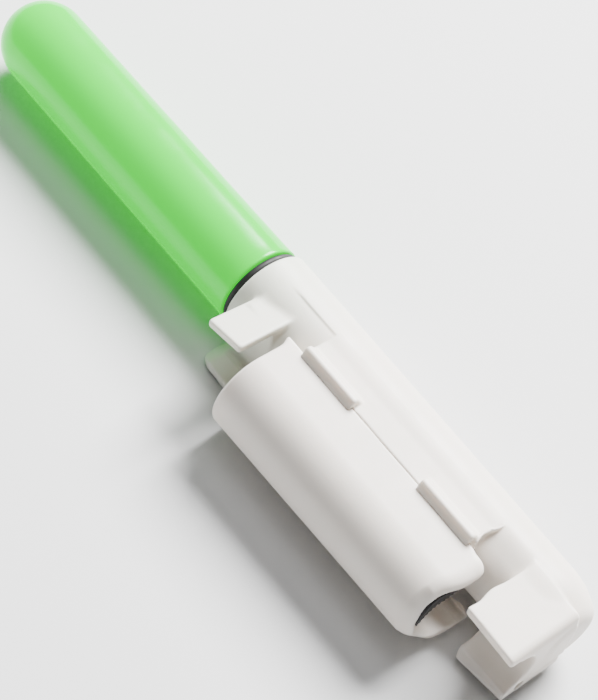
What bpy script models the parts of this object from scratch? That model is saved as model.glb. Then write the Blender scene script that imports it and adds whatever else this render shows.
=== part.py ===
"""Clip-on light stick: a green lens on a white battery tube, with two hooks and a clamp door for a rod.

The tube's axis runs along X. The lens points to -X, the tube's closed end to +X and the door to -Y.
The object lies on its flat back at Z = 0. Places along the tube are measured from its open rim, and
places in a cross-section are (across, up) from the tube's axis, with across towards the door.
"""

import math

import bmesh
import bpy

MM = 0.001

# Driving dimensions
TUBE_R = 5.2 * MM  # outer radius of the tube at its rim
DRAFT = 0.0127  # loss of radius for each unit of length, towards the closed end
TUBE_LENGTH = 47.6 * MM
LENS_LENGTH = 44.8 * MM  # from the rim to the lens's tip
FLAT = 0.99  # the flat front and back, as a fraction of the local radius
CHANNEL_U = 8.2 * MM  # from the tube's axis to the rod channel's axis
WALL = 1.04 * MM
END_ARC_R = 7.8 * MM  # large rounding of the closed end, seen along the tube
END_ARC_RUN = 4.7 * MM
END_CORNER = 0.5 * MM
BLOCK_X = (10.45 * MM, 35.9 * MM)
BLOCK_U = 4.0 * MM  # the block's outer face, where the seam with the door runs
SEAM_GAP = 0.15 * MM

# Hooks: the stretch along the tube and the reach of each lip
HOOK_ROOT_U = 4.8 * MM
TOP_FRONT_LIP = (2.3 * MM, 6.85 * MM, 9.3 * MM)
TOP_FRONT_SINKS = (1.05 * MM, 0.35 * MM)  # how far the lip lies below the flat at each end
LEVEL = (0.0, 0.0)
TOP_BACK_LIP = (0.1 * MM, 6.9 * MM, 8.2 * MM)
END_FRONT_LIP = (40.7 * MM, 47.5 * MM, 8.85 * MM)
END_BACK_LIP = (41.5 * MM, 47.5 * MM, 7.75 * MM)

# Latch ribs on the block's front edge
RIB_SPANS = ((10.45 * MM, 18.1 * MM), (28.3 * MM, 35.85 * MM))
RIB_HEIGHT = 1.0 * MM
RIB_OVERHANG_U = 4.8 * MM
RIB_CREST_U = (3.6 * MM, 3.95 * MM)

# Door and hinge
DOOR_X = (8.4 * MM, 38.95 * MM)
DOOR_EDGE_U = BLOCK_U + SEAM_GAP
DOOR_BACK_EDGE_U = 5.05 * MM
HINGE_U = 5.45 * MM
HINGE_UP = -3.75 * MM
KNUCKLE_R = 0.95 * MM
KNUCKLE_GAP = 0.25 * MM
DOOR_RELIEF_GAP = 0.4 * MM
BLOCK_CHAMFER = 0.5 * MM  # on the back edge, where the opened door swings past
PIN_R = 0.5 * MM
PIN_CLEARANCE = 0.06 * MM
PIN_X = (12.0 * MM, 34.5 * MM)
DOOR_KNUCKLES = ((11.0 * MM, 16.0 * MM), (29.6 * MM, 34.6 * MM))
BODY_KNUCKLES = ((16.3 * MM, 21.5 * MM), (24.1 * MM, 29.3 * MM))

# Rubber pad in the door
PAD_X = (9.2 * MM, 38.5 * MM)
PAD_FACE = 2.3 * MM  # from the channel's middle to the foot of the ribs
PAD_RIB = 0.25 * MM
PAD_RIBS = 8
PAD_FACING = math.radians(55)

# Bores in the tube
THREAD_BORE = (4.15 * MM, 7.2 * MM)
MAIN_BORE = (3.6 * MM, 44.8 * MM)
KEY_SLOT = (0.8 * MM, 0.5 * MM, 14.0 * MM)  # half width, depth, end

# Lens
LENS_BASE_R = 4.95 * MM
LENS_TIP_R = 4.9 * MM
LENS_WALL = 1.05 * MM
LENS_FOOT = -0.95 * MM
SPIGOT_X = (-4.2 * MM, -0.65 * MM, 6.6 * MM)
SPIGOT_R = (3.78 * MM, 3.98 * MM)
SPIGOT_BORE = 3.1 * MM
RING_MAJOR = 4.44 * MM
RING_MINOR = 0.41 * MM

# Light engine
BOARD_X = (-2.8 * MM, -2.0 * MM)
BOARD_R = 2.95 * MM
LED_R = 1.5 * MM
LED_X = (-8.4 * MM, -2.95 * MM)
LEAD_PITCH = 1.27 * MM
LEAD_SIDE = 0.5 * MM
CARRIER_X = (-1.9 * MM, 6.8 * MM, 8.4 * MM)
CARRIER_R = (2.95 * MM, 3.48 * MM)
SOCKET_X = (-1.7 * MM, 9.85 * MM)
SOCKET_R = (0.62 * MM, 0.36 * MM)
CONTACT_X = (9.45 * MM, 9.7 * MM)

# Battery: a pin-type lithium cell, 4.2 mm across and 35.9 mm long with its pin
CELL_R = 2.1 * MM
PIN_TIP_X = 8.0 * MM
CELL_END_X = 43.9 * MM
CAN_TOP_X = 10.5 * MM
LINER_X = (8.55 * MM, 43.2 * MM)
LINER_R = (3.45 * MM, 2.2 * MM)
CUSHION_X = (44.0 * MM, 44.65 * MM)

SIDES = 64
SMALL_SIDES = 24

# The tube's axis and rim in the object's frame, so that the origin is under the middle of the box
DOOR_OUTER_U = CHANNEL_U + (TUBE_R - DRAFT * DOOR_X[0]) * FLAT
RIM_X = (LENS_LENGTH - TUBE_LENGTH) / 2
AXIS_Y = (DOOR_OUTER_U - TUBE_R) / 2
AXIS_Z = TUBE_R

WHITE = (0.80, 0.77, 0.74)
GREEN = (0.08, 0.85, 0.16)
BLACK = (0.015, 0.014, 0.012)


def radius_at(x):
    return TUBE_R - DRAFT * x


def place(x, u, up):
    """World position of a point x along the tube, u towards the door and up from its axis."""
    return (RIM_X + x, AXIS_Y - u, AXIS_Z + up)


def material(name, color, roughness, metallic=0.0, transmission=0.0):
    found = bpy.data.materials.get(name)
    if found:
        return found
    made = bpy.data.materials.new(name)
    made.use_nodes = True
    shader = made.node_tree.nodes["Principled BSDF"]
    shader.inputs["Base Color"].default_value = (*color, 1.0)
    shader.inputs["Roughness"].default_value = roughness
    shader.inputs["Metallic"].default_value = metallic
    shader.inputs["Transmission Weight"].default_value = transmission
    made.diffuse_color = (*color, 1.0)
    return made


def add_object(name, bm, finish=None):
    """Object made from the bmesh, with its faces pointing out and round parts shaded smooth."""
    bmesh.ops.recalc_face_normals(bm, faces=bm.faces)
    mesh = bpy.data.meshes.new(name)
    bm.to_mesh(mesh)
    bm.free()
    mesh.shade_smooth()
    mesh.set_sharp_from_angle(angle=math.radians(30))
    obj = bpy.data.objects.new(name, mesh)
    bpy.context.scene.collection.objects.link(obj)
    if finish:
        mesh.materials.append(finish)
    return obj


def stack(name, rings, finish=None):
    """Closed solid through rings of equal point counts, each (x, [(u, up), ...])."""
    bm = bmesh.new()
    loops = [[bm.verts.new(place(x, u, up)) for u, up in points] for x, points in rings]
    for first, second in zip(loops, loops[1:]):
        for i in range(len(first)):
            j = (i + 1) % len(first)
            bm.faces.new((first[i], first[j], second[j], second[i]))
    bm.faces.new(loops[0])
    bm.faces.new(loops[-1])
    return add_object(name, bm, finish)


def circle(radius, sides=SIDES, u=0.0, up=0.0):
    turns = [2 * math.pi * i / sides for i in range(sides)]
    return [(u + radius * math.cos(t), up + radius * math.sin(t)) for t in turns]


def turned(name, profile, finish=None, sides=SIDES, u=0.0, up=0.0):
    """Solid of revolution along the tube from (x, radius) steps."""
    return stack(name, [(x, circle(r, sides, u, up)) for x, r in profile], finish)


def rod(name, span, radius, finish=None, sides=SMALL_SIDES, u=0.0, up=0.0):
    return turned(name, [(span[0], radius), (span[1], radius)], finish, sides, u, up)


def drafted(name, section, span, finish=None):
    """Prism along the tube whose section, a function of the local radius, follows the tube's draft."""
    return stack(name, [(x, section(radius_at(x))) for x in span], finish)


def bar(name, x_span, u_span, up_span, finish=None):
    points = [(u_span[0], up_span[0]), (u_span[1], up_span[0])]
    points += [(u_span[1], up_span[1]), (u_span[0], up_span[1])]
    return stack(name, [(x_span[0], points), (x_span[1], points)], finish)


def helper(obj):
    obj.hide_render = True
    obj.display_type = "WIRE"
    return obj


def combine(target, operation, others):
    for other in others:
        modifier = target.modifiers.new(f"{operation.lower()} {other.name}", "BOOLEAN")
        modifier.operation = operation
        modifier.solver = "EXACT"
        modifier.object = helper(other)
    return target


def join(target, *others):
    return combine(target, "UNION", others)


def cut(target, *cutters):
    return combine(target, "DIFFERENCE", cutters)


def lip(name, x0, x1, reach, front, sinks=LEVEL):
    """One flat plate of a hook, from inside the tube's wall out to its free edge, sunk at each end."""
    sections = []
    for x, sink in zip((x0, x1), sinks):
        r = radius_at(x)
        outer, inner = r * FLAT, r * FLAT - WALL
        low, high = (inner - sink, outer - sink) if front else (-outer, -inner)
        sections.append((x, [(0.3 * r, low), (reach, low), (reach, high), (0.3 * r, high)]))
    return stack(name, sections)


def hook(name, front_lip, back_lip, sinks=LEVEL):
    """Front and back lips with the root that joins them beside the tube."""
    start = max(front_lip[0], back_lip[0])
    end = min(front_lip[1], back_lip[1])

    def root(r):
        half = r * FLAT - 0.2 * WALL
        top = half - 1.3 * max(sinks)
        inside = 0.35 * r
        return [(inside, -half), (HOOK_ROOT_U, -half), (HOOK_ROOT_U, top), (inside, top)]

    return (
        lip(f"{name}_front_lip", *front_lip, front=True, sinks=sinks),
        lip(f"{name}_back_lip", *back_lip, front=False),
        drafted(f"{name}_root", root, (start + 0.2 * MM, end - 0.2 * MM)),
    )


def latch_rib(index, span):
    """Wedge on the block's front edge that hangs over the door's edge."""

    def section(r):
        top = r * FLAT
        underside = top + SEAM_GAP
        return [
            (RIB_CREST_U[0] - 0.3 * MM, top - 0.4 * MM),
            (BLOCK_U - 0.1 * MM, top - 0.4 * MM),
            (BLOCK_U - 0.1 * MM, underside),
            (RIB_OVERHANG_U, underside),
            (RIB_OVERHANG_U, underside + 0.15 * MM),
            (RIB_CREST_U[1] + 0.25 * MM, top + 0.6 * RIB_HEIGHT),
            (RIB_CREST_U[1], top + RIB_HEIGHT),
            (RIB_CREST_U[0], top + RIB_HEIGHT),
        ]

    return drafted(f"latch_rib_{index}", section, span)


def knuckle(name, span, radius):
    return rod(name, span, radius, u=HINGE_U, up=HINGE_UP, sides=32)


def body():
    """Tube, saddle block, hooks, latch ribs and hinge knuckles, moulded in one piece."""
    finish = material("white body", WHITE, 0.42)
    profile = [(0.0, TUBE_R)]
    for step in range(9):
        run = END_ARC_RUN * step / 8
        x = TUBE_LENGTH - END_CORNER - END_ARC_RUN + run
        inset = END_ARC_R - math.sqrt(END_ARC_R**2 - run**2)
        profile.append((x, radius_at(x) - inset))
    end_r = profile[-1][1]
    for t in (math.radians(90 * i / 4) for i in range(1, 5)):
        x = TUBE_LENGTH - END_CORNER * (1 - math.sin(t))
        profile.append((x, end_r - END_CORNER * (1 - math.cos(t))))
    tube = turned("body", profile, finish)

    def block(r):
        flat = r * FLAT
        back_edge = [(BLOCK_U - BLOCK_CHAMFER, -flat), (BLOCK_U, -flat + BLOCK_CHAMFER)]
        return [(0.3 * r, -flat)] + back_edge + [(BLOCK_U, flat), (0.3 * r, flat)]

    parts = [drafted("block", block, BLOCK_X)]
    parts += hook("top_hook", TOP_FRONT_LIP, TOP_BACK_LIP, TOP_FRONT_SINKS)
    parts += hook("end_hook", END_FRONT_LIP, END_BACK_LIP)
    parts += [latch_rib(i, span) for i, span in enumerate(RIB_SPANS)]
    for i, span in enumerate(BODY_KNUCKLES):
        parts.append(knuckle(f"body_knuckle_{i}", span, KNUCKLE_R))
        arm_up = (HINGE_UP - 0.3 * KNUCKLE_R, HINGE_UP + 0.8 * KNUCKLE_R)
        parts.append(bar(f"knuckle_arm_{i}", span, (3.2 * MM, HINGE_U), arm_up))
    join(tube, *parts)

    slot_width, slot_depth, slot_end = KEY_SLOT
    cutters = [
        rod("thread_bore", (-1 * MM, THREAD_BORE[1]), THREAD_BORE[0], sides=SIDES),
        rod("main_bore", (-2 * MM, MAIN_BORE[1]), MAIN_BORE[0], sides=SIDES),
        rod("body_pin_hole", (10 * MM, 37 * MM), PIN_R + PIN_CLEARANCE, u=HINGE_U, up=HINGE_UP),
        bar(
            "key_slot",
            (-1 * MM, slot_end),
            (-MAIN_BORE[0] - slot_depth, -2 * MM),
            (-slot_width, slot_width),
        ),
    ]
    for i, (start, end) in enumerate(DOOR_KNUCKLES):
        span = (start - KNUCKLE_GAP, end + KNUCKLE_GAP)
        cutters.append(knuckle(f"knuckle_relief_{i}", span, KNUCKLE_R + KNUCKLE_GAP))
    return cut(tube, *cutters)


def door_section(r):
    """C-shaped wall: front flat from the seam, half round at the channel, back flat to the hinge."""
    outer = r * FLAT
    inner = outer - WALL
    turns = [math.radians(90 - 180 * i / 32) for i in range(33)]
    points = [(DOOR_EDGE_U, outer)]
    points += [(CHANNEL_U + outer * math.cos(t), outer * math.sin(t)) for t in turns]
    points += [(DOOR_BACK_EDGE_U, -outer), (DOOR_BACK_EDGE_U, -inner)]
    points += [(CHANNEL_U + inner * math.cos(t), inner * math.sin(t)) for t in reversed(turns)]
    points += [(DOOR_EDGE_U, inner)]
    return points


def clamp_door():
    finish = material("white door", WHITE, 0.45)
    door = drafted("clamp_door", door_section, DOOR_X, finish)
    reliefs = []
    for i, (start, end) in enumerate(BODY_KNUCKLES):
        span = (start - KNUCKLE_GAP, end + KNUCKLE_GAP)
        reliefs.append(knuckle(f"door_relief_{i}", span, KNUCKLE_R + DOOR_RELIEF_GAP))
    cut(door, *reliefs)
    join(door, *[knuckle(f"door_knuckle_{i}", s, KNUCKLE_R) for i, s in enumerate(DOOR_KNUCKLES)])
    hole = rod(
        "door_pin_hole",
        (PIN_X[0] - 0.1 * MM, 40 * MM),
        PIN_R + PIN_CLEARANCE,
        u=HINGE_U,
        up=HINGE_UP,
    )
    return cut(door, hole)


def door_pad():
    """Ribbed rubber block that fills one side of the door's hollow and grips the rod."""
    steps = PAD_RIBS * 4

    def section(r):
        back = r * FLAT - WALL - 0.1 * MM
        half = math.acos(PAD_FACE / back)
        reach = back * math.sin(half)
        outside, inside = [], []
        for i in range(steps + 1):
            share = 1 - 2 * i / steps
            turn = PAD_FACING + half * share
            outside.append((CHANNEL_U + back * math.cos(turn), back * math.sin(turn)))
            face = PAD_FACE - PAD_RIB * (i % 4 in (1, 2))
            across = reach * share
            inside.append(
                (
                    CHANNEL_U + face * math.cos(PAD_FACING) - across * math.sin(PAD_FACING),
                    face * math.sin(PAD_FACING) + across * math.cos(PAD_FACING),
                )
            )
        return outside + inside[-2:0:-1]

    return drafted("door_pad", section, PAD_X, material("black rubber", BLACK, 0.75))


def lens():
    """Hollow tip cap with a round end, its mouth over the spigot."""
    finish = material("green lens", GREEN, 0.18, transmission=0.4)
    centre = -LENS_LENGTH + LENS_TIP_R
    turns = [math.radians(90 * i / 12) for i in range(12)]
    outer = [(centre - LENS_TIP_R * math.cos(t), LENS_TIP_R * math.sin(t)) for t in turns]
    outer[0] = (-LENS_LENGTH, 0.08 * MM)
    outer += [(centre, LENS_TIP_R), (LENS_FOOT, LENS_BASE_R)]
    inner_r = LENS_TIP_R - LENS_WALL
    hollow = [(centre - inner_r * math.cos(t), inner_r * math.sin(t)) for t in turns]
    hollow[0] = (centre - inner_r, 0.08 * MM)
    hollow += [(centre, inner_r), (LENS_FOOT + 1 * MM, LENS_BASE_R - LENS_WALL)]
    return cut(turned("lens", outer, finish), turned("lens_hollow", hollow))


def lens_base():
    """Threaded insert in the lens's mouth; the thread itself is drawn as a plain cylinder."""
    finish = material("white insert", WHITE, 0.5)
    top, step, foot = SPIGOT_X
    profile = [(top, SPIGOT_R[0]), (step, SPIGOT_R[0]), (step, SPIGOT_R[1]), (foot, SPIGOT_R[1])]
    bore = rod("spigot_bore", (top - 1 * MM, foot + 1 * MM), SPIGOT_BORE, sides=48)
    return cut(turned("lens_base", profile, finish, sides=48), bore)


def o_ring():
    bm = bmesh.new()
    centre_x = -RING_MINOR - 0.05 * MM
    loops = []
    for t in (2 * math.pi * i / 48 for i in range(48)):
        loop = []
        for s in (2 * math.pi * k / 12 for k in range(12)):
            r = RING_MAJOR + RING_MINOR * math.cos(s)
            at = place(centre_x + RING_MINOR * math.sin(s), r * math.cos(t), r * math.sin(t))
            loop.append(bm.verts.new(at))
        loops.append(loop)
    for i in range(48):
        first, second = loops[i], loops[(i + 1) % 48]
        for k in range(12):
            n = (k + 1) % 12
            bm.faces.new((first[k], first[n], second[n], second[k]))
    return add_object("o_ring", bm, material("seal rubber", BLACK, 0.5))


def light_engine():
    """LED, its two leads, the round board with its resistor, and the holder they sit in."""
    turns = [math.radians(90 * i / 8) for i in range(8)]
    tip, foot = LED_X
    dome = [(tip + LED_R * (1 - math.cos(t)), LED_R * math.sin(t)) for t in turns]
    dome[0] = (tip, 0.05 * MM)
    flange = LED_R + 0.3 * MM
    dome += [(tip + LED_R, LED_R), (foot - 0.9 * MM, LED_R), (foot - 0.9 * MM, flange), (foot, flange)]
    clear = material("led epoxy", (0.35, 0.9, 0.4), 0.1, transmission=0.6)
    tinned = material("tinned steel", (0.72, 0.71, 0.69), 0.35, metallic=1.0)
    turned("led", dome, clear, sides=32)

    board = rod("led_board", BOARD_X, BOARD_R, material("board green", (0.05, 0.22, 0.1), 0.5), sides=48)
    half = LEAD_SIDE / 2
    holes = []
    for name, side in (("anode_lead", 1), ("cathode_lead", -1)):
        u = side * LEAD_PITCH
        bar(name, (LED_X[1] + 0.05 * MM, -1.5 * MM), (u - half, u + half), (-half, half), tinned)
        wide = half + 0.12 * MM
        span = (BOARD_X[0] - 1 * MM, BOARD_X[1] + 1 * MM)
        holes.append(bar(f"{name}_hole", span, (u - wide, u + wide), (-wide, wide)))
    cut(board, *holes)
    chip = material("chip ceramic", (0.03, 0.03, 0.035), 0.4)
    chip_x = (BOARD_X[0] - 0.45 * MM, BOARD_X[0] - 0.06 * MM)
    bar("resistor", chip_x, (-0.6 * MM, 0.6 * MM), (1.95 * MM, 2.55 * MM), chip)

    top, shoulder, foot = CARRIER_X
    profile = [(top, CARRIER_R[0]), (shoulder, CARRIER_R[0]), (shoulder, CARRIER_R[1])]
    profile += [(foot, CARRIER_R[1])]
    carrier = turned("led_carrier", profile, material("grey holder", (0.5, 0.5, 0.5), 0.55), sides=48)
    key_u = (-MAIN_BORE[0] - KEY_SLOT[1] + 0.15 * MM, -2.5 * MM)
    key_up = (-KEY_SLOT[0] + 0.12 * MM, KEY_SLOT[0] - 0.12 * MM)
    join(carrier, bar("carrier_key", (shoulder + 0.3 * MM, foot - 0.2 * MM), key_u, key_up))
    span = (top - 1 * MM, foot + 1 * MM)
    well = (top - 1 * MM, top + 0.6 * MM)
    cut(
        carrier,
        rod("socket_hole", span, SOCKET_R[0] + 0.12 * MM),
        bar("contact_hole", span, (-0.75 * MM, 0.75 * MM), (-2.5 * MM, -1.8 * MM)),
        bar("lead_well", well, (-1.9 * MM, 1.9 * MM), (-0.6 * MM, 0.6 * MM)),
    )


def contacts():
    """Socket that grips the cell's pin, and the spring washer that touches the can."""
    brass = material("brass", (0.78, 0.6, 0.28), 0.3, metallic=1.0)
    spring = material("spring steel", (0.7, 0.7, 0.72), 0.28, metallic=1.0)
    socket = rod("pin_socket", SOCKET_X, SOCKET_R[0], brass)
    cut(socket, rod("socket_bore", (PIN_TIP_X - 0.4 * MM, 12 * MM), SOCKET_R[1]))
    washer = rod("can_contact", CONTACT_X, 2.05 * MM, spring, sides=40)
    leg_x = (-1.7 * MM, CONTACT_X[1] - 0.05 * MM)
    leg = bar("contact_leg", leg_x, (-0.6 * MM, 0.6 * MM), (-2.3 * MM, -2.0 * MM))
    cut(washer, rod("washer_hole", (8 * MM, 11 * MM), 1.05 * MM))
    join(washer, leg)
    paper = material("liner", (0.75, 0.75, 0.72), 0.6)
    liner = rod("battery_liner", LINER_X, LINER_R[0], paper, sides=48)
    cut(
        liner,
        rod("liner_bore", (CONTACT_X[0] - 0.15 * MM, 46 * MM), LINER_R[1], sides=40),
        rod("liner_mouth", (7 * MM, 12 * MM), 1.1 * MM),
        bar("liner_leg_slot", (7 * MM, 10.4 * MM), (-0.75 * MM, 0.75 * MM), (-2.5 * MM, -0.9 * MM)),
    )


def battery():
    can = material("nickel can", (0.75, 0.75, 0.74), 0.22, metallic=1.0)
    edge = 0.25 * MM
    profile = [(CAN_TOP_X, CELL_R - edge), (CAN_TOP_X + edge, CELL_R)]
    profile += [(CELL_END_X - edge, CELL_R), (CELL_END_X, CELL_R - edge)]
    shell = turned("battery_can", profile, can, sides=40)
    seat = rod("gasket_seat", (8 * MM, CAN_TOP_X + 0.9 * MM), 1.3 * MM, sides=32)
    cut(shell, seat)
    gasket_x = (CAN_TOP_X - 0.35 * MM, CAN_TOP_X + 0.8 * MM)
    rubber = material("gasket", (0.1, 0.1, 0.12), 0.5)
    seal = rod("battery_gasket", gasket_x, 0.95 * MM, rubber, sides=32)
    cut(seal, rod("gasket_hole", (8 * MM, 13 * MM), 0.38 * MM))
    rod("battery_pin", (PIN_TIP_X, CAN_TOP_X + 0.7 * MM), 0.3 * MM, can)
    rod("battery_cushion", CUSHION_X, 3.2 * MM, material("foam", (0.1, 0.1, 0.1), 0.9), sides=32)


def hinge_pin():
    steel = material("pin steel", (0.62, 0.62, 0.63), 0.3, metallic=1.0)
    return rod("hinge_pin", PIN_X, PIN_R, steel, u=HINGE_U, up=HINGE_UP)


def set_pivot(obj, pivot):
    """Moves the object's origin onto its joint's axis, and its mesh the other way."""
    for vert in obj.data.vertices:
        vert.co = (vert.co[0] - pivot[0], vert.co[1] - pivot[1], vert.co[2] - pivot[2])
    obj.location = pivot


def main():
    for obj in list(bpy.data.objects):
        bpy.data.objects.remove(obj, do_unlink=True)
    body()
    door = clamp_door()
    pad = door_pad()
    hinge_pin()
    cap = lens()
    lens_base()
    o_ring()
    light_engine()
    contacts()
    battery()
    for piece in (door, pad):
        set_pivot(piece, place(DOOR_X[0], HINGE_U, HINGE_UP))
    set_pivot(cap, place(0, 0, 0))


main()
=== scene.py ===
"""Looks of the clip-on light stick: moulded white shells, glowing green lens, black seal and ribbed rubber pad.

The shells are drawn as distance fields in millimetres and meshed on a fine grid, which gives them the soft
edges and fillets of moulded plastic. Inside this script a place is (x, u, v): x along the tube from its open
rim, u from the tube's axis towards the door and v from the axis towards the front with the latch ribs.
"""

import math

import bpy
import numpy as np
from mathutils import Matrix, Vector


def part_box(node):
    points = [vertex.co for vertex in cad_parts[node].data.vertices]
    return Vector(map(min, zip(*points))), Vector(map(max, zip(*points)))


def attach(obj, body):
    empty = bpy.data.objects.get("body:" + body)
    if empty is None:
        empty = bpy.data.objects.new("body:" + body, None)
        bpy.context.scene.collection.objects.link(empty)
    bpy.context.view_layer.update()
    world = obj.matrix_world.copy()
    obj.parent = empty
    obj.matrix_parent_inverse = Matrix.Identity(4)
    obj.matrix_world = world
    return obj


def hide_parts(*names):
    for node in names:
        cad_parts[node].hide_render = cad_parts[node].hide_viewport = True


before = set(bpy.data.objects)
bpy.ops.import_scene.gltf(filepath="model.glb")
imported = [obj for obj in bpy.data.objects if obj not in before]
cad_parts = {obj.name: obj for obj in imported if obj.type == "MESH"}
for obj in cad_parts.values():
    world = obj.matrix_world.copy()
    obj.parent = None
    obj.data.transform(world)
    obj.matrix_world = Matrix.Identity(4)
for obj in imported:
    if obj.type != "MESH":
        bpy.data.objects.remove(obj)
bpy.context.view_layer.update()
MM = 0.001

# Places and sizes read from the frame, in millimetres
body_low, body_high = (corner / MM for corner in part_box("body"))
door_low, door_high = (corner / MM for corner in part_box("clamp_door"))
lens_low, lens_high = (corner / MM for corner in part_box("lens"))
pin_low, pin_high = (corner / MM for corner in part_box("hinge_pin"))
pad_low, pad_high = (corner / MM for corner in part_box("door_pad"))
base_low, base_high = (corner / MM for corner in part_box("lens_base"))
board_low, board_high = (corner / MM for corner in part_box("led_board"))
RIM_X = body_low.x
AXIS_Y = (board_low.y + board_high.y) / 2
AXIS_Z = (board_low.z + board_high.z) / 2
TUBE_R = body_high.y - AXIS_Y
TUBE_LENGTH = body_high.x - RIM_X
DOOR_X = (door_low.x - RIM_X, door_high.x - RIM_X)
HINGE_U = AXIS_Y - (pin_low.y + pin_high.y) / 2
HINGE_V = (pin_low.z + pin_high.z) / 2 - AXIS_Z
PIN_X = (pin_low.x - RIM_X, pin_high.x - RIM_X)

# Shapes that the frame's boxes don't give, in millimetres
DRAFT = 0.0127
FLAT = 0.988
CHANNEL_U = 8.2
WALL = 1.04
BLOCK_X = (10.45, 35.9)
BLOCK_U = 4.06
BLOCK_CHAMFER = 0.5
SEAM_GAP = 0.07
END_ARC_R, END_ARC_RUN = 7.8, 4.7
RECESS_DEPTH = 0.12
TOP_GAP = (4.3, 10.5)
LOW_GAP = (35.9, 40.9)
KNUCKLE_R = 0.94
KNUCKLE_GAP = 0.26
DOOR_RELIEF = 0.42
DOOR_KNUCKLES = ((11.0, 16.0), (29.6, 34.6))
BODY_KNUCKLES = ((16.3, 21.5), (24.1, 29.3))
PIN_HOLE_R = 0.56
RIB_SPANS = ((10.45, 18.1), (28.3, 35.85))
THREAD_BORE_R, THREAD_BORE_END = 4.16, 7.2
MAIN_BORE_R, MAIN_BORE_END = 3.6, 44.8

VOXEL = 0.15


# ---------------------------------------------------------------- distance fields


def smax(a, b, k):
    """Intersection of two fields with its edge rounded over about k."""
    h = np.maximum(k - np.abs(a - b), 0.0) / k
    return np.maximum(a, b) + h * h * k * 0.25


def smin(a, b, k):
    """Union of two fields with a fillet of about k."""
    return -smax(-a, -b, k)


def span(x, low, high, k=0.2):
    return smax(low - x, x - high, k)


def local_radius(x):
    return TUBE_R - DRAFT * x


def step(t, width):
    """Smooth 0 to 1 as t goes from -width to width."""
    s = np.clip(0.5 + 0.5 * t / width, 0.0, 1.0)
    return s * s * (3 - 2 * s)


def rod_field(u, v, at_u, at_v, radius):
    return np.hypot(u - at_u, v - at_v) - radius


def tube_field(x, u, v):
    run = np.clip(x - (TUBE_LENGTH - END_ARC_RUN), 0.0, END_ARC_RUN + 1)
    inset = END_ARC_R - np.sqrt(END_ARC_R**2 - run**2)
    top_gap = step(x - TOP_GAP[0], 1.2) * step(TOP_GAP[1] - x, 0.1)
    low_gap = step(x - LOW_GAP[0], 0.1) * step(LOW_GAP[1] - x, 0.15)
    recess = RECESS_DEPTH * top_gap * step(u - 0.05, 0.07)
    recess = recess + 2.7 * RECESS_DEPTH * low_gap * step(u - 0.7, 1.3)
    side = np.hypot(u, v) - (local_radius(x) - inset - recess)
    return smax(smax(side, x - TUBE_LENGTH, 0.9), -x, 0.3)


def block_field(x, u, v):
    flat = np.abs(v) - local_radius(x) * FLAT
    # The moulded lower edge rises into a small lip beside the latch rib.
    wave = 0.12 * np.sin(u * 1.9 + 0.6) + 0.07 * np.sin(u * 4.3)
    field = smax(flat, u - BLOCK_U, 0.1)
    field = smax(field, span(x, BLOCK_X[0], BLOCK_X[1] + wave * (v > 0), 0.1), 0.16)
    chamfer = (u - v - BLOCK_U - local_radius(x) * FLAT + BLOCK_CHAMFER) / math.sqrt(2)
    return smax(smax(field, chamfer, 0.1), -u - 0.6, 0.1)


def rib_field(x, u, v, start, end):
    """Latch rib: a narrow crest whose hollow left face runs down over the door's edge."""
    top = local_radius(x) * FLAT
    height = v - top
    crest = height - 0.95 + 0.5 * np.maximum(3.72 - u, 0.0) ** 2
    slope = (u - 4.02) * 0.72 + (height - 1.0) * 0.62
    hollow = 0.1 * np.sin(np.clip((u - 4.0) / 0.95, 0.0, 1.0) * math.pi)
    left = smax(slope + hollow, u - 4.98, 0.12)
    right = (3.45 - u) * 0.8 + height * 0.55 - 0.5
    underside = np.where(u > BLOCK_U - 0.1, 0.02 - height, -0.4 - height)
    field = smax(smax(crest, left, 0.16), right, 0.3)
    field = smax(field, underside, 0.08)
    return smax(field, span(x, start, end, 0.3), 0.28)


def top_hook_fields(x, u, v):
    """Front lip, which leans towards the lens, then the back lip and the root."""
    top = 3.95 + (x - 2.2) * 0.147 + (u - 3.2) * 0.1
    plan = smax(span(x, 2.0, 6.65 + 0.03 * (u - 5), 0.3), u - 9.45 + 0.04 * (x - 4), 0.45)
    front = smax(smax(v - top, top - WALL - v, 0.3), plan, 0.32)
    front = smax(front, -u, 0.1)
    low = -local_radius(x) * FLAT
    bevel = (0.2 - x + (v - low) * 1.7) / 1.97
    plan = smax(span(x, 0.12, 6.8, 0.2), u - 8.05 - 0.04 * x, 0.9)
    corner = (u - 6.9 - (x - 0.1) * 1.05) * 0.7
    back = smax(smax(low - v, v - low - WALL, 0.2), smax(plan, corner, 0.9), 0.25)
    back = smax(smax(back, bevel, 0.2), 0.5 - u, 0.1)
    root = smax(np.abs(v) - local_radius(x) * FLAT + 0.9, u - 4.75, 0.3)
    root = smax(root, span(x, 2.5, 6.6, 0.2), 0.3)
    return front, back, smax(root, 1.0 - u, 0.1)


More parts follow.
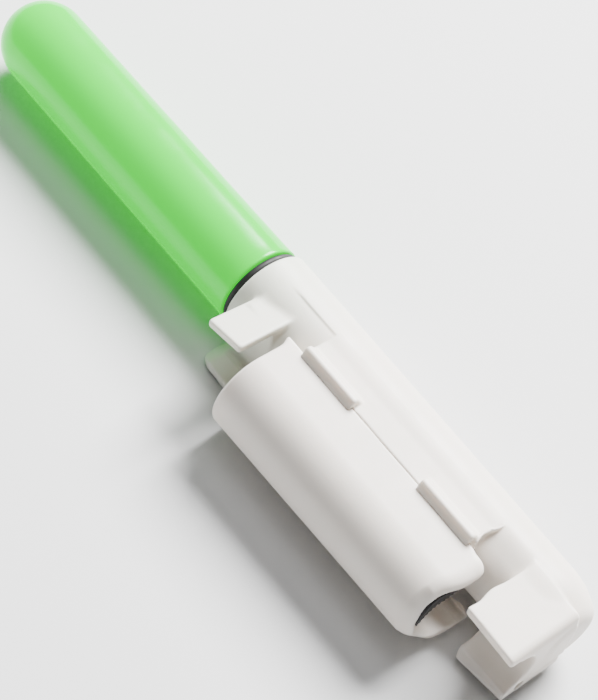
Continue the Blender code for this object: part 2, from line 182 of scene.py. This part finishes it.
def end_hook_fields(x, u, v):
    flat = local_radius(x) * FLAT
    wave = 0.22 * np.exp(-((u - 5.4) ** 2) / 1.3) - 0.12 * np.exp(-((u - 7.4) ** 2) / 0.8)
    start = 40.75 - wave
    plan = smax(start - x, x - TUBE_LENGTH + 0.08, 0.3)
    plan = smax(plan, u - 8.75 - 0.03 * (x - 41), 0.35)
    top = smax(v - flat, x - TUBE_LENGTH + 0.08, 0.9)
    front = smax(smax(top, flat - WALL - v, 0.25), plan, 0.22)
    front = smax(front, 0.2 - u, 0.1)
    plan = smax(span(x, 41.25, TUBE_LENGTH - 0.04, 0.1), u - 8.2 + 0.1 * (x - 41.8), 0.1)
    plan = smax(plan, (u - 7.55 - (x - 41.3) * 1.5) / 1.8, 0.12)
    bevel = (u - 8.2 + (v + flat) * 0.8) / 1.28
    back = smax(smax(-flat - v, v + flat - WALL, 0.15), plan, 0.12)
    back = smax(smax(back, bevel, 0.1), 0.2 - u, 0.1)
    root = smax(np.abs(v) - flat + 1.0, u - 7.6, 0.3)
    root = smax(root, span(x, 40.85 + 0.5 * step(-v - 1.0, 1.0), TUBE_LENGTH - 0.08, 0.3), 0.3)
    root = smax(root, smax(plan, bevel, 0.1) - 6.0 * step(v + 1.5, 1.0), 0.12)
    channel = 3.45 - np.hypot(np.maximum(8.2 - u, 0.0), v)
    root = smax(root, channel, 0.3)
    return front, back, smax(root, 0.3 - u, 0.1)


def flash_field(x, u, v):
    """Thin wavy lip of moulding flash that stands on the block's lower edge."""
    top = local_radius(x) * FLAT
    crest = 0.26 + 0.1 * np.sin(u * 2.4)
    line = BLOCK_X[1] + 0.05 + 0.22 * np.sin(u * 1.7 + 0.9)
    field = smax(np.abs(x - line) - 0.1, span(u, -0.35, 3.7, 0.2), 0.1)
    sunk = np.where(u < 1.2, 0.09 * (1.2 - u) ** 2, 0.0)
    return smax(field, span(v, top - 1.2, top + crest - sunk, 0.1), 0.1)


def body_field(x, u, v):
    field = smin(tube_field(x, u, v), block_field(x, u, v), 0.12)
    field = smin(field, flash_field(x, u, v), 0.12)
    front, back, root = top_hook_fields(x, u, v)
    field = smin(field, smin(front, back, 0.2), 0.3)
    field = smin(field, root, 0.4)
    front, back, root = end_hook_fields(x, u, v)
    field = smin(field, smin(smin(front, root, 0.3), back, 0.2), 0.5)
    for start, end in RIB_SPANS:
        field = smin(field, rib_field(x, u, v, start, end), 0.22)
    for start, end in BODY_KNUCKLES:
        knuckle = rod_field(u, v, HINGE_U, HINGE_V, KNUCKLE_R)
        arm = smax(span(v, HINGE_V - 0.28, HINGE_V + 0.76, 0.1), span(u, 3.2, HINGE_U, 0.1), 0.1)
        knuckle = smin(knuckle, arm, 0.2)
        field = smin(field, smax(knuckle, span(x, start, end, 0.1), 0.15), 0.12)
    bore = smax(np.hypot(u, v) - MAIN_BORE_R, x - MAIN_BORE_END, 0.1)
    thread = smax(np.hypot(u, v) - THREAD_BORE_R, x - THREAD_BORE_END, 0.1)
    field = smax(field, -np.minimum(bore, thread), 0.2)
    field = smax(field, PIN_HOLE_R - np.hypot(u - HINGE_U, v - HINGE_V), 0.05)
    for start, end in DOOR_KNUCKLES:
        relief = rod_field(u, v, HINGE_U, HINGE_V, KNUCKLE_R + KNUCKLE_GAP)
        relief = np.maximum(relief, span(x, start - KNUCKLE_GAP, end + KNUCKLE_GAP))
        field = smax(field, -relief, 0.1)
    return field


def door_field(x, u, v):
    r = local_radius(x) * FLAT
    past = np.maximum(u - CHANNEL_U, 0.0)
    outer = np.hypot(past, v) - r
    inner = np.hypot(past, v) - (r - WALL)
    front = step(v, 0.6)
    tail = step(x - 36.6, 0.5)
    side = step(u - 9.9, 1.3)
    # The mouth's rim is hollowed back at the front and the side, and the back wall runs on past it.
    end = DOOR_X[1] + 0.02 - 0.62 * front * np.exp(-(((u - 10.2) / 2.0) ** 2))
    end = end - 0.15 * side * (1.0 - front) + 0.25 * (1.0 - 0.3 * front) * step(8.0 - u, 1.5)
    start = DOOR_X[0] + 0.05 - 0.45 * front * np.exp(-(((u - 4.2) / 0.7) ** 2))
    back_edge = 5.08 - 0.6 * tail + 0.12 * np.sin(x * 3.1) * tail
    edge_u = BLOCK_U + SEAM_GAP + (back_edge - BLOCK_U - SEAM_GAP) * (1.0 - front)
    ends = smax(x - end, start - x, 0.2)
    corner = smax(edge_u - u, x - end, 0.15 + 1.3 * front * tail)
    shell = smax(outer, x - end, 0.2 + tail * (0.5 + 1.2 * np.maximum(front, 1.6 * side)))
    shell = smax(shell, start - x, 0.35)
    shell = smax(shell, smax(corner, ends, 0.1), 0.12 + 0.5 * tail * front)
    field = smax(shell, -inner, 0.14)
    for start, end in BODY_KNUCKLES:
        relief = rod_field(u, v, HINGE_U, HINGE_V, KNUCKLE_R + DOOR_RELIEF)
        relief = np.maximum(relief, span(x, start - KNUCKLE_GAP, end + KNUCKLE_GAP))
        field = smax(field, -relief, 0.1)
    for start, end in DOOR_KNUCKLES:
        knuckle = rod_field(u, v, HINGE_U, HINGE_V, KNUCKLE_R)
        field = smin(field, smax(knuckle, span(x, start, end, 0.1), 0.15), 0.15)
    hole = np.maximum(rod_field(u, v, HINGE_U, HINGE_V, PIN_HOLE_R), PIN_X[0] - 0.1 - x)
    return smax(field, -hole, 0.05)


PAD_X = (pad_low.x - RIM_X, pad_high.x - RIM_X)
PAD_FACE, PAD_RIB, PAD_PITCH = 2.05, 0.24, 0.5
PAD_FACING = math.radians(55)


def pad_field(x, u, v):
    """Block whose ribbed flat faces the channel's middle and whose back follows the door's hollow."""
    back = local_radius(x) * 0.99 - WALL - 0.06
    depth = (u - CHANNEL_U) * math.cos(PAD_FACING) + v * math.sin(PAD_FACING)
    across = v * math.cos(PAD_FACING) - (u - CHANNEL_U) * math.sin(PAD_FACING)
    ribs = PAD_RIB * (0.5 + 0.5 * np.cos(across * 2 * math.pi / PAD_PITCH))
    field = smax(np.hypot(u - CHANNEL_U, v) - back, PAD_FACE + ribs - depth, 0.1)
    end = PAD_X[1] + 0.12 - 0.4 * np.exp(-(((u - 10.2) / 2.0) ** 2))
    return smax(field, span(x, PAD_X[0] + 0.02, end), 0.1)


BASE_X = (base_low.x - RIM_X, base_high.x - RIM_X)
THREAD_PITCH = 1.0


def base_field(x, u, v):
    """Insert in the lens's mouth, with the screw thread on its lower part."""
    radius = np.hypot(u, v)
    turn = x / THREAD_PITCH + np.arctan2(v, u) / (2 * math.pi)
    tooth = np.abs((turn % 1.0) - 0.5) * 2
    thread = 3.62 + 0.34 * np.clip(1.6 * tooth - 0.25, 0.0, 1.0)
    threaded = step(x - 0.9, 0.25) * step(5.9 - x, 0.4)
    outer = np.where(x < -0.7, 3.76, 3.95 * (1 - threaded) + thread * threaded)
    field = smax(radius - outer, 3.1 - radius, 0.15)
    return smax(field, span(x, BASE_X[0] + 0.02, BASE_X[1] - 0.02), 0.2)


# ---------------------------------------------------------------- meshing


def to_row(points):
    """Row-frame metres from (x, u, v) millimetres."""
    return np.stack(
        [RIM_X + points[:, 0], AXIS_Y - points[:, 1], AXIS_Z + points[:, 2]], axis=1
    ) * MM


def cell_points(values, active):
    """Middle of the surface's crossings on the twelve edges of each active cell, in cells."""
    corners = [(i, j, k) for i in (0, 1) for j in (0, 1) for k in (0, 1)]
    base = np.argwhere(active)
    total = np.zeros(base.shape)
    count = np.zeros(len(base))
    for a in corners:
        for axis in range(3):
            if a[axis]:
                continue
            b = tuple(a[n] + (n == axis) for n in range(3))
            first = values[tuple((base + a).T)]
            second = values[tuple((base + b).T)]
            crossed = (first < 0) != (second < 0)
            share = np.where(crossed, first / np.where(crossed, first - second, 1.0), 0.0)
            place = base + np.array(a, float)
            place[:, axis] += share
            total += place * crossed[:, None]
            count += crossed
    return total / count[:, None]


def surface_of(values):
    """Points, in cells, and quads of the surface where the sampled field is zero."""
    inside = values < 0
    shape = np.array(values.shape) - 1
    count = np.zeros(shape, np.int8)
    for i in (0, 1):
        for j in (0, 1):
            for k in (0, 1):
                count += inside[i : i + shape[0], j : j + shape[1], k : k + shape[2]]
    active = (count > 0) & (count < 8)
    index = np.full(shape, -1)
    index[active] = np.arange(active.sum())
    points = cell_points(values, active)
    quads = []
    for axis in range(3):
        order = (axis, (axis + 1) % 3, (axis + 2) % 3)
        signs = inside.transpose(order)[:, 1:-1, 1:-1]
        cells = index.transpose(order)
        low, high = signs[:-1], signs[1:]
        ring = [cells[:, :-1, :-1], cells[:, 1:, :-1], cells[:, 1:, 1:], cells[:, :-1, 1:]]
        for change, way in ((low & ~high, 1), (~low & high, -1)):
            quads.append(np.stack([c[change] for c in ring][::way], axis=1))
    return points, np.concatenate(quads)


def settle(field, points, limit):
    """Moves the points onto the field's zero surface, at most limit."""
    moved = points.copy()
    small = 0.01
    for _ in range(2):
        value = field(*moved.T)
        slope = np.zeros_like(moved)
        for axis in range(3):
            offset = np.zeros(3)
            offset[axis] = small
            ahead = field(*(moved + offset).T)
            behind = field(*(moved - offset).T)
            slope[:, axis] = (ahead - behind) / (2 * small)
        size = np.maximum((slope**2).sum(axis=1), 0.25)
        move = -(value / size)[:, None] * slope
        length = np.maximum(np.linalg.norm(move, axis=1), 1e-9)
        moved += move * np.minimum(1.0, limit / length)[:, None]
    return moved


def moulded(name, field, low, high, voxel=VOXEL):
    """Object whose mesh is the zero surface of the field inside the box from low to high."""
    axes = [np.arange(a - 2 * voxel, b + 3 * voxel, voxel) for a, b in zip(low, high)]
    values = field(axes[0][:, None, None], axes[1][None, :, None], axes[2][None, None, :])
    points, quads = surface_of(np.broadcast_to(values, [len(a) for a in axes]))
    points = points * voxel + np.array([a[0] for a in axes])
    points = settle(field, points, voxel * 0.6)
    mesh = bpy.data.meshes.new(name)
    mesh.from_pydata(to_row(points).tolist(), [], quads[:, ::-1].tolist())
    mesh.update()
    mesh.shade_smooth()
    obj = bpy.data.objects.new(name, mesh)
    bpy.context.scene.collection.objects.link(obj)
    return obj


def turned(name, profile, sides=128):
    """Surface of revolution about the tube's axis through (x, radius) points, from end to end."""
    angles = np.arange(sides) * 2 * math.pi / sides
    rings = [
        np.stack([np.full(sides, x), r * np.cos(angles), r * np.sin(angles)], axis=1)
        for x, r in profile
    ]
    faces = []
    for i in range(len(profile) - 1):
        for j in range(sides):
            n = (j + 1) % sides
            a, b = i * sides, (i + 1) * sides
            faces.append((a + j, b + j, b + n, a + n))
    faces.append(tuple(range(sides)))
    last = (len(profile) - 1) * sides
    faces.append(tuple(last + j for j in reversed(range(sides))))
    mesh = bpy.data.meshes.new(name)
    mesh.from_pydata(to_row(np.concatenate(rings)).tolist(), [], faces)
    mesh.update()
    mesh.shade_smooth()
    mesh.set_sharp_from_angle(angle=math.radians(50))
    obj = bpy.data.objects.new(name, mesh)
    bpy.context.scene.collection.objects.link(obj)
    return obj


# ---------------------------------------------------------------- materials


class Nodes:
    """Short names for building one material's node tree."""

    def __init__(self, name):
        self.material = bpy.data.materials.new(name)
        self.material.use_nodes = True
        self.tree = self.material.node_tree
        self.shader = self.tree.nodes["Principled BSDF"]
        self.place = self.add("ShaderNodeTexCoord").outputs["Object"]

    def add(self, kind, **values):
        node = self.tree.nodes.new(kind)
        for key, value in values.items():
            setattr(node, key, value)
        return node

    def link(self, output, socket):
        self.tree.links.new(output, socket)

    def set(self, **values):
        for key, value in values.items():
            self.shader.inputs[key.replace("_", " ")].default_value = value

    def noise(self, scale, detail=3.0, roughness=0.55, stretch=None):
        node = self.add("ShaderNodeTexNoise")
        node.inputs["Scale"].default_value = scale
        node.inputs["Detail"].default_value = detail
        node.inputs["Roughness"].default_value = roughness
        source = self.place
        if stretch:
            mapping = self.add("ShaderNodeMapping")
            mapping.inputs["Scale"].default_value = stretch
            self.link(self.place, mapping.inputs["Vector"])
            source = mapping.outputs["Vector"]
        self.link(source, node.inputs["Vector"])
        return node.outputs["Fac"]

    def ramp(self, value, stops):
        node = self.add("ShaderNodeValToRGB")
        elements = node.color_ramp.elements
        while len(elements) < len(stops):
            elements.new(0.5)
        for element, (position, color) in zip(elements, stops):
            element.position = position
            element.color = (*color, 1.0)
        self.link(value, node.inputs["Fac"])
        return node.outputs["Color"]

    def range(self, value, low, high, to_low, to_high):
        node = self.add("ShaderNodeMapRange")
        for key, number in zip(("From Min", "From Max", "To Min", "To Max"), (low, high, to_low, to_high)):
            node.inputs[key].default_value = number
        self.link(value, node.inputs["Value"])
        return node.outputs["Result"]

    def mix(self, kind, factor, first, second):
        node = self.add("ShaderNodeMix", data_type="RGBA", blend_type=kind)
        for socket, value in (("Factor", factor), ("A", first), ("B", second)):
            inputs = [i for i in node.inputs if i.name == socket and i.enabled]
            if isinstance(value, (int, float)):
                inputs[0].default_value = value
            elif isinstance(value, tuple):
                inputs[0].default_value = (*value, 1.0)
            else:
                self.link(value, inputs[0])
        return next(o for o in node.outputs if o.enabled)

    def axis(self, name):
        split = self.add("ShaderNodeSeparateXYZ")
        self.link(self.place, split.inputs["Vector"])
        return split.outputs[name]

    def bump(self, height, distance, strength=1.0):
        node = self.add("ShaderNodeBump")
        node.inputs["Distance"].default_value = distance
        node.inputs["Strength"].default_value = strength
        self.link(height, node.inputs["Height"])
        self.link(node.outputs["Normal"], self.shader.inputs["Normal"])


def white_plastic(name, near_lens, far):
    """Satin moulded plastic with painted green light from the lens, greener where the lens lights it from inside, with
    a few moulding specks.
    """
    n = Nodes(name)
    # Painted green glow from the lens: the colour runs from the near-lens colour at the lens end to the far colour
    # along the shell.
    along = n.range(n.axis("X"), -0.002, 0.012, 0.0, 1.0)
    painted_lens_glow = n.ramp(along, [(0.0, near_lens), (0.55, tuple((a + b) / 2 for a, b in zip(near_lens, far))), (1.0, far)])
    cloud = n.ramp(n.noise(160, 4), [(0.3, (0.965, 0.962, 0.958)), (0.7, (1.0, 1.0, 1.0))])
    color = n.mix("MULTIPLY", 1.0, painted_lens_glow, cloud)
    specks = n.ramp(n.noise(1200, 1.0), [(0.0, (0.0, 0.0, 0.0)), (0.82, (0.0, 0.0, 0.0)), (0.85, (1.0, 1.0, 1.0))])
    color = n.mix("MIX", specks, color, (0.42, 0.39, 0.35))
    n.link(color, n.shader.inputs["Base Color"])
    n.link(n.range(n.noise(420, 3), 0.3, 0.7, 0.40, 0.50), n.shader.inputs["Roughness"])
    n.bump(n.noise(2600, 3), 0.00002, 0.35)
    n.set(IOR=1.47, Subsurface_Weight=0.35, Subsurface_Scale=0.0012)
    n.shader.inputs["Subsurface Radius"].default_value = (1.0, 0.9, 0.85)
    return n.material


def glowing_lens():
    """Frosted translucent green lit from inside, with moulding flow lines and a glossy skin."""
    n = Nodes("glowing_lens")
    flow = n.noise(60, 3, stretch=(0.15, 1.0, 1.0))
    color = n.ramp(flow, [(0.3, (0.002, 0.42, 0.012)), (0.7, (0.003, 0.48, 0.018))])
    n.link(color, n.shader.inputs["Base Color"])
    glow = n.ramp(n.range(n.axis("X"), -0.05, 0.0, 0.0, 1.0), [(0.0, (1.0, 1.0, 1.0)), (0.25, (0.72, 0.72, 0.72)), (1.0, (0.6, 0.6, 0.6))])
    shine = n.ramp(flow, [(0.3, (0.0, 0.94, 0.012)), (0.7, (0.0, 1.0, 0.02))])
    n.link(n.mix("MULTIPLY", 1.0, shine, glow), n.shader.inputs["Emission Color"])
    n.link(n.range(n.noise(300, 2), 0.3, 0.7, 0.16, 0.24), n.shader.inputs["Roughness"])
    n.bump(n.noise(500, 2, stretch=(0.2, 1.0, 1.0)), 0.00001, 0.25)
    n.set(IOR=1.5, Emission_Strength=1.35, Specular_IOR_Level=0.25)
    return n.material


def rubber(name, color, roughness, grain):
    n = Nodes(name)
    dark = tuple(c * 0.6 for c in color)
    n.link(n.ramp(n.noise(grain, 4), [(0.3, dark), (0.7, color)]), n.shader.inputs["Base Color"])
    n.link(n.range(n.noise(grain * 2, 2), 0.3, 0.7, roughness - 0.06, roughness + 0.06), n.shader.inputs["Roughness"])
    n.bump(n.noise(grain * 4, 3), 0.00003, 0.4)
    n.set(IOR=1.52)
    return n.material


def metal(name, color, roughness, stretch=(0.05, 1.0, 1.0)):
    n = Nodes(name)
    scratch = n.noise(2500, 3, stretch=stretch)
    dull = tuple(c * 0.82 for c in color)
    n.link(n.ramp(scratch, [(0.3, dull), (0.7, color)]), n.shader.inputs["Base Color"])
    n.link(n.range(scratch, 0.3, 0.7, roughness - 0.07, roughness + 0.09), n.shader.inputs["Roughness"])
    n.bump(scratch, 0.00001, 0.2)
    n.set(Metallic=1.0)
    return n.material


def plastic(name, color, roughness):
    n = Nodes(name)
    shade = tuple(c * 0.9 for c in color)
    n.link(n.ramp(n.noise(500, 4), [(0.3, shade), (0.7, color)]), n.shader.inputs["Base Color"])
    n.link(n.range(n.noise(900, 2), 0.3, 0.7, roughness - 0.05, roughness + 0.05), n.shader.inputs["Roughness"])
    n.bump(n.noise(2400, 3), 0.00002, 0.3)
    n.set(IOR=1.47)
    return n.material


def dress(obj, material):
    obj.data.materials.clear()
    obj.data.materials.append(material)
    return obj


# ---------------------------------------------------------------- pieces


def install(obj, body, node, material):
    dress(obj, material)
    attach(obj, body)
    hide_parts(node)
    return obj


def white_shells():
    body = moulded("moulded_body", body_field, (0.0, -5.3, -5.3), (TUBE_LENGTH, 9.5, 6.1))
    white = white_plastic("white_body", (0.73, 0.76, 0.655), (0.86, 0.79, 0.715))
    install(body, "housing", "body", white)
    door = moulded("moulded_door", door_field, (DOOR_X[0], 4.0, -5.2), (DOOR_X[1], 13.4, 5.2))
    white = white_plastic("white_door", (0.84, 0.775, 0.705), (0.85, 0.785, 0.715))
    install(door, "door", "clamp_door", white)


def grip_pad():
    pad = moulded("ribbed_pad", pad_field, (PAD_X[0], 6.0, -1.5), (PAD_X[1] + 0.1, 12.3, 4.2), VOXEL * 0.7)
    install(pad, "door", "door_pad", rubber("grip_rubber", (0.006, 0.0055, 0.005), 0.6, 900))


def lens_cap():
    """Thin-lipped cap with a round end, a small flare at its foot and its hollow inside."""
    tip_x = lens_low.x - RIM_X
    foot_x = lens_high.x - RIM_X
    base_r = (lens_high.y - lens_low.y) / 2
    tip_r = base_r - 0.05
    wall = 1.05
    centre = tip_x + tip_r
    arc = [math.radians(90 * i / 32) for i in range(1, 33)]
    profile = [(tip_x, 0.02)]
    profile += [(centre - tip_r * math.cos(t), tip_r * math.sin(t)) for t in arc]
    profile += [(foot_x - 1.6, base_r - 0.06), (foot_x - 0.5, base_r - 0.03), (foot_x - 0.2, base_r)]
    profile += [(foot_x - 0.06, base_r - 0.03), (foot_x, base_r - 0.14), (foot_x, base_r - wall + 0.12)]
    inner_r = tip_r - wall
    profile += [(foot_x - 0.1, base_r - wall), (centre, inner_r)]
    profile += [(centre - inner_r * math.cos(t), inner_r * math.sin(t)) for t in reversed(arc[:-1])]
    profile.append((centre - inner_r, 0.02))
    install(turned("glowing_cap", profile), "cap", "lens", glowing_lens())


def seal():
    ring_low, ring_high = (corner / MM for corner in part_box("o_ring"))
    centre_x = (ring_low.x + ring_high.x) / 2 - RIM_X
    minor = (ring_high.x - ring_low.x) / 2
    major = (ring_high.y - ring_low.y) / 2 - minor
    bpy.ops.mesh.primitive_torus_add(
        major_radius=major * MM, minor_radius=minor * MM, major_segments=144, minor_segments=24
    )
    ring = bpy.context.object
    ring.name = "seal_ring"
    at = to_row(np.array([[centre_x, 0.0, 0.0]]))[0]
    ring.data.transform(Matrix.Translation(Vector(at)) @ Matrix.Rotation(math.radians(90), 4, "Y"))
    ring.data.shade_smooth()
    install(ring, "cap", "o_ring", rubber("seal_rubber", (0.006, 0.006, 0.006), 0.62, 500))


def threaded_insert():
    insert = moulded("threaded_insert", base_field, (BASE_X[0], -4.0, -4.0), (BASE_X[1], 4.0, 4.0), VOXEL * 0.8)
    install(insert, "cap", "lens_base", plastic("white_insert", (0.78, 0.77, 0.74), 0.42))


def inner_finishes():
    """Better finishes on the CAD pieces that the shells hide, such as the cell and its contacts."""
    steel = metal("drawn_steel", (0.62, 0.62, 0.63), 0.3)
    nickel = metal("nickel", (0.75, 0.75, 0.73), 0.24)
    finishes = {
        "hinge_pin": steel,
        "led": plastic("led_epoxy", (0.35, 0.92, 0.42), 0.12),
        "anode_lead": metal("tinned_lead", (0.72, 0.71, 0.69), 0.35),
        "cathode_lead": metal("tinned_lead_b", (0.72, 0.71, 0.69), 0.35),
        "led_board": plastic("board_mask", (0.04, 0.2, 0.09), 0.4),
        "resistor": plastic("chip_body", (0.03, 0.03, 0.035), 0.35),
        "led_carrier": plastic("grey_holder", (0.5, 0.5, 0.5), 0.5),
        "pin_socket": metal("brass", (0.78, 0.6, 0.28), 0.3),
        "can_contact": metal("spring_steel", (0.7, 0.7, 0.72), 0.26),
        "battery_liner": plastic("liner_plastic", (0.74, 0.74, 0.71), 0.55),
        "battery_can": nickel,
        "battery_gasket": plastic("gasket_plastic", (0.08, 0.08, 0.1), 0.45),
        "battery_pin": nickel,
        "battery_cushion": rubber("foam", (0.08, 0.08, 0.08), 0.85, 700),
    }
    for node, material in finishes.items():
        dress(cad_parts[node], material)


# ---------------------------------------------------------------- studio

CAMERA_TARGET = (6.30, -0.23, -2.80)  # x, u, v in millimetres
CAMERA_DISTANCE = 206.4
CAMERA_AZIMUTH, CAMERA_ELEVATION, CAMERA_ROLL = 38.48, 53.23, 16.16
LENS_MM, SENSOR_MM = 120.48, 36.0


def add_camera():
    data = bpy.data.cameras.new("camera")
    data.sensor_fit = "HORIZONTAL"
    data.sensor_width = SENSOR_MM
    data.lens = LENS_MM
    data.clip_start = 0.01
    camera = bpy.data.objects.new("camera", data)
    bpy.context.scene.collection.objects.link(camera)
    azimuth, elevation = math.radians(CAMERA_AZIMUTH), math.radians(CAMERA_ELEVATION)
    towards = Vector(
        (
            math.sin(azimuth) * math.cos(elevation),
            -math.cos(azimuth) * math.cos(elevation),
            math.sin(elevation),
        )
    )
    target = Vector(to_row(np.array([CAMERA_TARGET]))[0])
    turn = towards.to_track_quat("Z", "Y").to_matrix().to_4x4()
    roll = Matrix.Rotation(math.radians(CAMERA_ROLL), 4, "Z")
    camera.matrix_world = Matrix.Translation(target + towards * CAMERA_DISTANCE * MM) @ turn @ roll
    bpy.context.scene.camera = camera


def add_light(name, at, size, power, color=(1.0, 1.0, 1.0)):
    data = bpy.data.lights.new(name, "AREA")
    data.size = size
    data.energy = power
    data.color = color
    light = bpy.data.objects.new(name, data)
    bpy.context.scene.collection.objects.link(light)
    place = Vector(at)
    turn = place.to_track_quat("Z", "Y").to_matrix().to_4x4()
    light.matrix_world = Matrix.Translation(place) @ turn


def studio():
    world = bpy.data.worlds.new("studio")
    bpy.context.scene.world = world
    world.use_nodes = True
    background = world.node_tree.nodes["Background"]
    background.inputs["Color"].default_value = (0.92, 0.96, 1.0, 1.0)
    background.inputs["Strength"].default_value = 0.18
    add_light("key", (-0.12, 0.42, 0.42), 0.3, 24.0)
    add_light("top", (-0.08, 0.08, 0.6), 0.25, 0.8)
    bpy.ops.mesh.primitive_plane_add(size=6.0, location=(0.0, 0.0, -0.0002))
    floor = bpy.context.object
    floor.name = "floor"
    n = Nodes("pale_floor")
    n.link(n.ramp(n.noise(8, 3), [(0.3, (0.74, 0.74, 0.74)), (0.7, (0.76, 0.76, 0.76))]), n.shader.inputs["Base Color"])
    n.set(Roughness=0.9)
    dress(floor, n.material)


white_shells()
grip_pad()
lens_cap()
seal()
threaded_insert()
inner_finishes()
add_camera()
studio()
